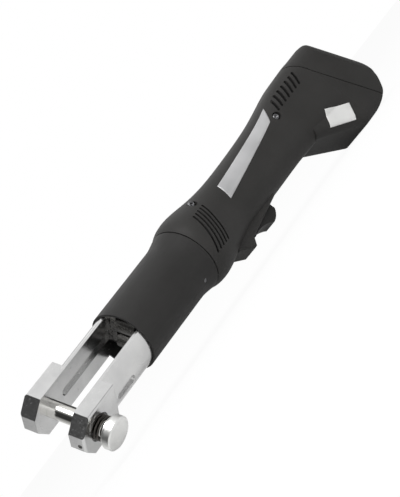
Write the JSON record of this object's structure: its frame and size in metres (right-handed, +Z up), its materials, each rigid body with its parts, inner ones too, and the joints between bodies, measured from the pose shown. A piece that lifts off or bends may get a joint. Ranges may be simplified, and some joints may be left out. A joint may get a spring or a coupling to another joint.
{
  "type": "pipe press tool",
  "caption": "Hand-held cordless hydraulic press tool with a swivelling fork head, locking jaw bolt, roller ram, in-line grip with trigger, and a slanted clip-on battery pack.",
  "frame": {"origin": "centre of the jaw bolt, on the tool's axis midway between the fork's ears", "axes": "+X forward along the tool's axis to the fork, +Y to the tool's left, +Z up, trigger on the -Z side"},
  "size_m": [0.4613, 0.0679, 0.0878],
  "materials": {
    "housing_plastic": "dark warm grey moulded plastic with a fine texture",
    "trigger_plastic": "smooth black plastic",
    "inner_plastic": "plain black moulding",
    "plated_steel": "bright nickel-plated forged steel",
    "polished_steel": "polished ground steel",
    "oiled_steel": "black-oxide steel, oiled",
    "satin_steel": "satin turned steel",
    "spring_steel": "oiled spring wire",
    "screw_steel": "zinc-plated screw steel",
    "sleeve_paint": "black coated tube",
    "cylinder_steel": "turned steel",
    "pump_metal": "machined aluminium",
    "bronze": "sintered bronze",
    "gear_steel": "hardened gear steel",
    "motor_steel": "drawn steel can",
    "rubber": "nitrile rubber",
    "board": "green circuit laminate",
    "cell_sleeve": "shrink-sleeved cells",
    "contact": "tinned brass"
  },
  "bodies": {
    "housing": {"left_housing": "housing_plastic", "right_housing": "housing_plastic", "housing_screws": "screw_steel", "swivel_ring": "bronze", "ring_gear": "gear_steel", "motor_can": "motor_steel", "motor_magnets": "motor_steel", "switch_module": "inner_plastic", "control_board": "board", "terminal_block": "inner_plastic", "trigger_pin": "screw_steel", "trigger_spring": "spring_steel"},
    "head": {"fork_yoke": "plated_steel", "press_cylinder": "cylinder_steel", "head_sleeve": "sleeve_paint", "pump_block": "pump_metal", "pump_bush": "bronze", "pump_plunger": "gear_steel", "relief_valve": "bronze", "oil_bladder": "rubber", "swivel_retainer": "spring_steel", "sleeve_screw": "screw_steel", "bolt_stop_screw": "screw_steel", "rod_seal": "rubber", "return_spring": "spring_steel", "bolt_spring": "spring_steel"},
    "ram": {"ram_piston": "polished_steel", "piston_seal": "rubber", "roller_carrier": "oiled_steel", "roller_axles": "oiled_steel"},
    "upper_roller": {"upper_roller": "oiled_steel"},
    "lower_roller": {"lower_roller": "oiled_steel"},
    "bolt_slider": {"thrust_washer": "satin_steel"},
    "bolt": {"locking_bolt": "polished_steel", "bolt_knob": "satin_steel"},
    "rotor": {"motor_shaft": "gear_steel", "motor_armature": "motor_steel", "cooling_fan": "inner_plastic"},
    "carrier": {"planet_carrier": "gear_steel"},
    "planet_1": {"planet_gear_1": "gear_steel"},
    "planet_2": {"planet_gear_2": "gear_steel"},
    "planet_3": {"planet_gear_3": "gear_steel"},
    "trigger": {"trigger": "trigger_plastic"},
    "pack": {"battery_case": "housing_plastic", "battery_cells": "cell_sleeve", "battery_contacts": "contact"},
    "latch": {"battery_latch": "trigger_plastic"}
  },
  "joints": [
    {"name": "head_swivel", "type": "hinge", "parent": "housing", "child": "head", "pos_m": [-0.1735, 0, 0], "axis": [1, 0, 0], "range_deg": [-116, 234]},
    {"name": "ram_stroke", "type": "slide", "parent": "head", "child": "ram", "axis": [1, 0, 0], "range_m": [0, 0.03], "stiffness_N_per_m": 600, "springref_m": -0.01, "deforming": ["return_spring"]},
    {"name": "upper_roller_spin", "type": "hinge", "parent": "ram", "child": "upper_roller", "pos_m": [-0.0897, 0.00737, 0.00443], "axis": [0, 0.515, -0.8572], "continuous": true},
    {"name": "lower_roller_spin", "type": "hinge", "parent": "ram", "child": "lower_roller", "pos_m": [-0.0897, -0.00737, -0.00443], "axis": [0, 0.515, -0.8572], "continuous": true},
    {"name": "bolt_pull", "type": "slide", "parent": "head", "child": "bolt_slider", "axis": [0, 0.515, -0.8572], "range_m": [-0.003, 0.043], "deforming": ["bolt_spring"]},
    {"name": "bolt_turn", "type": "hinge", "parent": "bolt_slider", "child": "bolt", "pos_m": [0, 0, 0], "axis": [0, 0.515, -0.8572], "range_deg": [0, 180]},
    {"name": "trigger_pull", "type": "hinge", "parent": "housing", "child": "trigger", "pos_m": [-0.2345, 0, -0.0235], "axis": [0, 1, 0], "range_deg": [0, 8], "stiffness_Nm_per_rad": 0.8, "springref_deg": -5.73},
    {"name": "rotor_spin", "type": "hinge", "parent": "housing", "child": "rotor", "pos_m": [-0.2395, 0, 0], "axis": [1, 0, 0], "continuous": true},
    {"name": "carrier_spin", "type": "hinge", "parent": "housing", "child": "carrier", "pos_m": [-0.1871, 0, 0], "axis": [1, 0, 0], "continuous": true},
    {"name": "planet_1_spin", "type": "hinge", "parent": "carrier", "child": "planet_1", "pos_m": [-0.1911, 0.0135, 0], "axis": [1, 0, 0], "continuous": true},
    {"name": "planet_2_spin", "type": "hinge", "parent": "carrier", "child": "planet_2", "pos_m": [-0.1911, -0.00675, 0.01169], "axis": [1, 0, 0], "continuous": true},
    {"name": "planet_3_spin", "type": "hinge", "parent": "carrier", "child": "planet_3", "pos_m": [-0.1911, -0.00675, -0.01169], "axis": [1, 0, 0], "continuous": true},
    {"name": "pack_slide", "type": "slide", "parent": "housing", "child": "pack", "axis": [-1, 0, 0], "range_m": [0, 0.085]},
    {"name": "latch_press", "type": "slide", "parent": "pack", "child": "latch", "axis": [1, 0, 0], "range_m": [0, 0.0025], "stiffness_N_per_m": 800, "springref_m": -0.001}
  ],
  "couplings": [
    {"joint": "carrier_spin", "follows": "rotor_spin", "ratio": 0.22222},
    {"joint": "planet_1_spin", "follows": "rotor_spin", "ratio": -0.62222},
    {"joint": "planet_2_spin", "follows": "rotor_spin", "ratio": -0.62222},
    {"joint": "planet_3_spin", "follows": "rotor_spin", "ratio": -0.62222}
  ]
}
